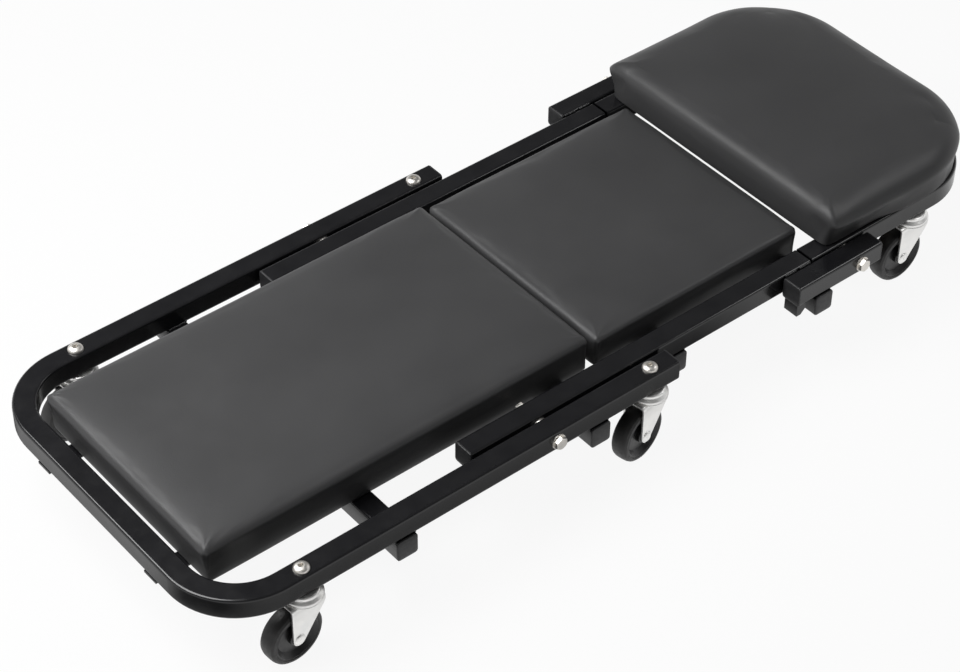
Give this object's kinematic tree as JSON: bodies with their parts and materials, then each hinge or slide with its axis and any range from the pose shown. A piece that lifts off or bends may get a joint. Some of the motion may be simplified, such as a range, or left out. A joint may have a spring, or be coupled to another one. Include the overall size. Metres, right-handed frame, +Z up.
{
  "type": "folding creeper seat",
  "caption": "Low padded roller board in hinged tube-frame sections on swivel casters, for lying under a vehicle; it folds into a Z-shaped rolling seat.",
  "frame": {"origin": "on the floor under the middle of the flat board", "axes": "+X towards the head end, +Y to the far side, +Z up"},
  "size_m": [1.081, 0.433, 0.1615],
  "materials": {
    "frame_paint": "semi-gloss black paint",
    "vinyl": "satin black vinyl over foam",
    "plywood": "raw plywood",
    "plug_plastic": "matte black plastic",
    "wheel_rubber": "matte black",
    "caster_zinc": "bright zinc plate",
    "fastener_zinc": "zinc plated"
  },
  "bodies": {
    "base": {"base_frame": "frame_paint", "front_cross_tube": "frame_paint", "stop_cross_tube": "frame_paint", "pad_strap_near": "frame_paint", "pad_strap_far": "frame_paint", "base_plugs": "plug_plastic", "leg_pad_board": "plywood", "leg_cushion": "vinyl", "leg_pad_screws": "fastener_zinc", "base_caster_screws": "fastener_zinc", "knee_bolt_near": "fastener_zinc", "knee_bolt_far": "fastener_zinc", "knee_washers": "fastener_zinc", "knee_nuts": "fastener_zinc", "front_caster_near_raceway": "caster_zinc", "front_caster_far_raceway": "caster_zinc", "middle_caster_near_raceway": "caster_zinc", "middle_caster_far_raceway": "caster_zinc"},
    "seat": {"seat_rail_near": "frame_paint", "seat_rail_far": "frame_paint", "seat_cross_tube": "frame_paint", "hinge_cross_tube": "frame_paint", "hinge_stub_near": "frame_paint", "hinge_stub_far": "frame_paint", "seat_plugs": "plug_plastic", "seat_pad_board": "plywood", "seat_cushion": "vinyl", "seat_pad_screws": "fastener_zinc", "head_bolt_near": "fastener_zinc", "head_bolt_far": "fastener_zinc", "head_washers": "fastener_zinc", "head_nuts": "fastener_zinc"},
    "head": {"head_frame": "frame_paint", "head_pad_board": "plywood", "head_cushion": "vinyl", "head_pad_screws": "fastener_zinc", "head_caster_screws": "fastener_zinc", "head_caster_near_raceway": "caster_zinc", "head_caster_far_raceway": "caster_zinc"},
    "front_caster_near_swivel": {"front_caster_near_fork": "caster_zinc", "front_caster_near_axle": "caster_zinc"},
    "front_caster_near_roller": {"front_caster_near_wheel": "wheel_rubber"},
    "front_caster_far_swivel": {"front_caster_far_fork": "caster_zinc", "front_caster_far_axle": "caster_zinc"},
    "front_caster_far_roller": {"front_caster_far_wheel": "wheel_rubber"},
    "middle_caster_near_swivel": {"middle_caster_near_fork": "caster_zinc", "middle_caster_near_axle": "caster_zinc"},
    "middle_caster_near_roller": {"middle_caster_near_wheel": "wheel_rubber"},
    "middle_caster_far_swivel": {"middle_caster_far_fork": "caster_zinc", "middle_caster_far_axle": "caster_zinc"},
    "middle_caster_far_roller": {"middle_caster_far_wheel": "wheel_rubber"},
    "head_caster_near_swivel": {"head_caster_near_fork": "caster_zinc", "head_caster_near_axle": "caster_zinc"},
    "head_caster_near_roller": {"head_caster_near_wheel": "wheel_rubber"},
    "head_caster_far_swivel": {"head_caster_far_fork": "caster_zinc", "head_caster_far_axle": "caster_zinc"},
    "head_caster_far_roller": {"head_caster_far_wheel": "wheel_rubber"}
  },
  "joints": [
    {"name": "knee_fold", "type": "hinge", "parent": "base", "child": "seat", "pos_m": [-0.1282, 0, 0.098], "axis": [0, -1, 0], "range_deg": [0, 125]},
    {"name": "head_fold", "type": "hinge", "parent": "seat", "child": "head", "pos_m": [0.3025, 0, 0.098], "axis": [0, 1, 0], "range_deg": [0, 125]},
    {"name": "front_caster_near_turn", "type": "hinge", "parent": "base", "child": "front_caster_near_swivel", "pos_m": [-0.4355, -0.1955, 0.073], "axis": [0, 0, 1], "continuous": true},
    {"name": "front_caster_near_roll", "type": "hinge", "parent": "front_caster_near_swivel", "child": "front_caster_near_roller", "pos_m": [-0.45196, -0.19665, 0.033], "axis": [-0.0698, 0.9976, 0], "continuous": true},
    {"name": "front_caster_far_turn", "type": "hinge", "parent": "base", "child": "front_caster_far_swivel", "pos_m": [-0.4355, 0.1955, 0.073], "axis": [0, 0, 1], "continuous": true},
    {"name": "front_caster_far_roll", "type": "hinge", "parent": "front_caster_far_swivel", "child": "front_caster_far_roller", "pos_m": [-0.45196, 0.19435, 0.033], "axis": [-0.0698, 0.9976, 0], "continuous": true},
    {"name": "middle_caster_near_turn", "type": "hinge", "parent": "base", "child": "middle_caster_near_swivel", "pos_m": [0.0052, -0.1955, 0.073], "axis": [0, 0, 1], "continuous": true},
    {"name": "middle_caster_near_roll", "type": "hinge", "parent": "middle_caster_near_swivel", "child": "middle_caster_near_roller", "pos_m": [-0.011, -0.19865, 0.033], "axis": [-0.1908, 0.9816, 0], "continuous": true},
    {"name": "middle_caster_far_turn", "type": "hinge", "parent": "base", "child": "middle_caster_far_swivel", "pos_m": [0.0052, 0.1955, 0.073], "axis": [0, 0, 1], "continuous": true},
    {"name": "middle_caster_far_roll", "type": "hinge", "parent": "middle_caster_far_swivel", "child": "middle_caster_far_roller", "pos_m": [-0.011, 0.19235, 0.033], "axis": [-0.1908, 0.9816, 0], "continuous": true},
    {"name": "head_caster_near_turn", "type": "hinge", "parent": "head", "child": "head_caster_near_swivel", "pos_m": [0.4215, -0.1663, 0.073], "axis": [0, 0, 1], "continuous": true},
    {"name": "head_caster_near_roll", "type": "hinge", "parent": "head_caster_near_swivel", "child": "head_caster_near_roller", "pos_m": [0.405, -0.1663, 0.033], "axis": [0, 1, 0], "continuous": true},
    {"name": "head_caster_far_turn", "type": "hinge", "parent": "head", "child": "head_caster_far_swivel", "pos_m": [0.4215, 0.1663, 0.073], "axis": [0, 0, 1], "continuous": true},
    {"name": "head_caster_far_roll", "type": "hinge", "parent": "head_caster_far_swivel", "child": "head_caster_far_roller", "pos_m": [0.405, 0.1663, 0.033], "axis": [0, 1, 0], "continuous": true}
  ]
}
